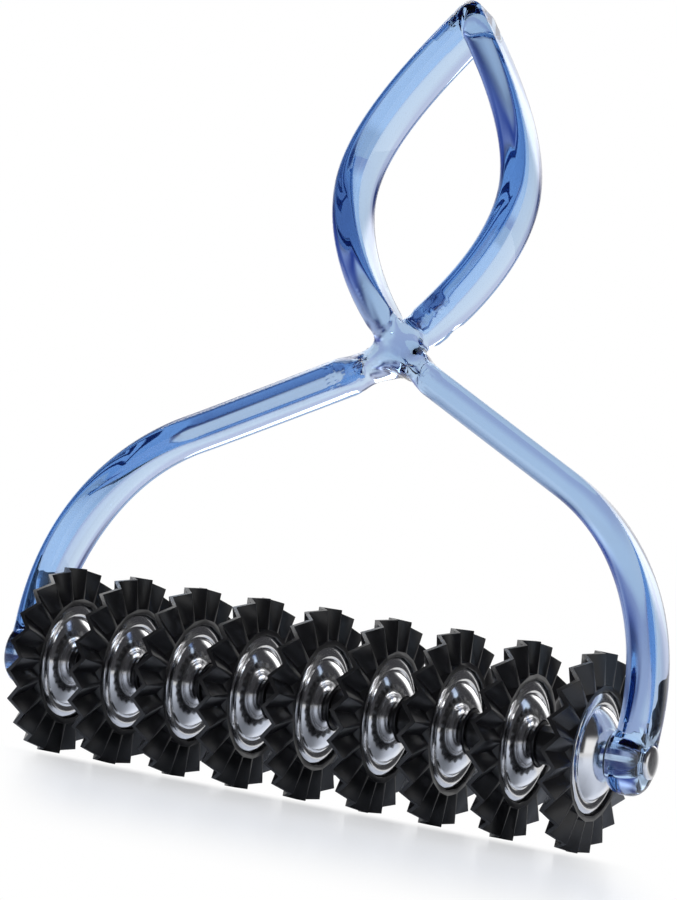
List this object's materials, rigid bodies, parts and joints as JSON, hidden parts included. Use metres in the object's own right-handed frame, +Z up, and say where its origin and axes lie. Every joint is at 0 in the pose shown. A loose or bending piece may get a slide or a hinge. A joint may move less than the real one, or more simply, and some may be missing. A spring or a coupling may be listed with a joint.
{
  "type": "pasta cutting roller",
  "caption": "Hand roller for cutting pasta: a row of fluted wheels with domed steel plates turns on an axle under a looped, clear plastic bar handle.",
  "frame": {"origin": "on the surface under the wheels, below the middle of the axle", "axes": "+Z up through the handle's loop, +X along the axle to the right, -Y towards the viewer"},
  "size_m": [0.1568, 0.0416, 0.1818],
  "materials": {
    "clear_blue_plastic": "glossy, clear",
    "black_plastic": "satin",
    "polished_steel": "polished",
    "axle_steel": "drawn"
  },
  "bodies": {
    "frame": {"handle_frame": "clear_blue_plastic", "axle_rod": "axle_steel", "end_cap_left": "polished_steel", "end_cap_right": "polished_steel", "spacer_1": "black_plastic", "spacer_2": "black_plastic", "spacer_3": "black_plastic", "spacer_4": "black_plastic", "spacer_5": "black_plastic", "spacer_6": "black_plastic", "spacer_7": "black_plastic", "spacer_8": "black_plastic"},
    "wheel_1": {"cutter_wheel_1": "black_plastic", "dome_left_1": "polished_steel", "dome_right_1": "polished_steel"},
    "wheel_2": {"cutter_wheel_2": "black_plastic", "dome_left_2": "polished_steel", "dome_right_2": "polished_steel"},
    "wheel_3": {"cutter_wheel_3": "black_plastic", "dome_left_3": "polished_steel", "dome_right_3": "polished_steel"},
    "wheel_4": {"cutter_wheel_4": "black_plastic", "dome_left_4": "polished_steel", "dome_right_4": "polished_steel"},
    "wheel_5": {"cutter_wheel_5": "black_plastic", "dome_left_5": "polished_steel", "dome_right_5": "polished_steel"},
    "wheel_6": {"cutter_wheel_6": "black_plastic", "dome_left_6": "polished_steel", "dome_right_6": "polished_steel"},
    "wheel_7": {"cutter_wheel_7": "black_plastic", "dome_left_7": "polished_steel", "dome_right_7": "polished_steel"},
    "wheel_8": {"cutter_wheel_8": "black_plastic", "dome_left_8": "polished_steel", "dome_right_8": "polished_steel"},
    "wheel_9": {"cutter_wheel_9": "black_plastic", "dome_left_9": "polished_steel", "dome_right_9": "polished_steel"}
  },
  "joints": [
    {"name": "wheel_1_spin", "type": "hinge", "parent": "frame", "child": "wheel_1", "pos_m": [-0.064, 0, 0.0208], "axis": [1, 0, 0], "continuous": true},
    {"name": "wheel_2_spin", "type": "hinge", "parent": "frame", "child": "wheel_2", "pos_m": [-0.048, 0, 0.0208], "axis": [1, 0, 0], "continuous": true},
    {"name": "wheel_3_spin", "type": "hinge", "parent": "frame", "child": "wheel_3", "pos_m": [-0.032, 0, 0.0208], "axis": [1, 0, 0], "continuous": true},
    {"name": "wheel_4_spin", "type": "hinge", "parent": "frame", "child": "wheel_4", "pos_m": [-0.016, 0, 0.0208], "axis": [1, 0, 0], "continuous": true},
    {"name": "wheel_5_spin", "type": "hinge", "parent": "frame", "child": "wheel_5", "pos_m": [0, 0, 0.0208], "axis": [1, 0, 0], "continuous": true},
    {"name": "wheel_6_spin", "type": "hinge", "parent": "frame", "child": "wheel_6", "pos_m": [0.016, 0, 0.0208], "axis": [1, 0, 0], "continuous": true},
    {"name": "wheel_7_spin", "type": "hinge", "parent": "frame", "child": "wheel_7", "pos_m": [0.032, 0, 0.0208], "axis": [1, 0, 0], "continuous": true},
    {"name": "wheel_8_spin", "type": "hinge", "parent": "frame", "child": "wheel_8", "pos_m": [0.048, 0, 0.0208], "axis": [1, 0, 0], "continuous": true},
    {"name": "wheel_9_spin", "type": "hinge", "parent": "frame", "child": "wheel_9", "pos_m": [0.064, 0, 0.0208], "axis": [1, 0, 0], "continuous": true}
  ]
}
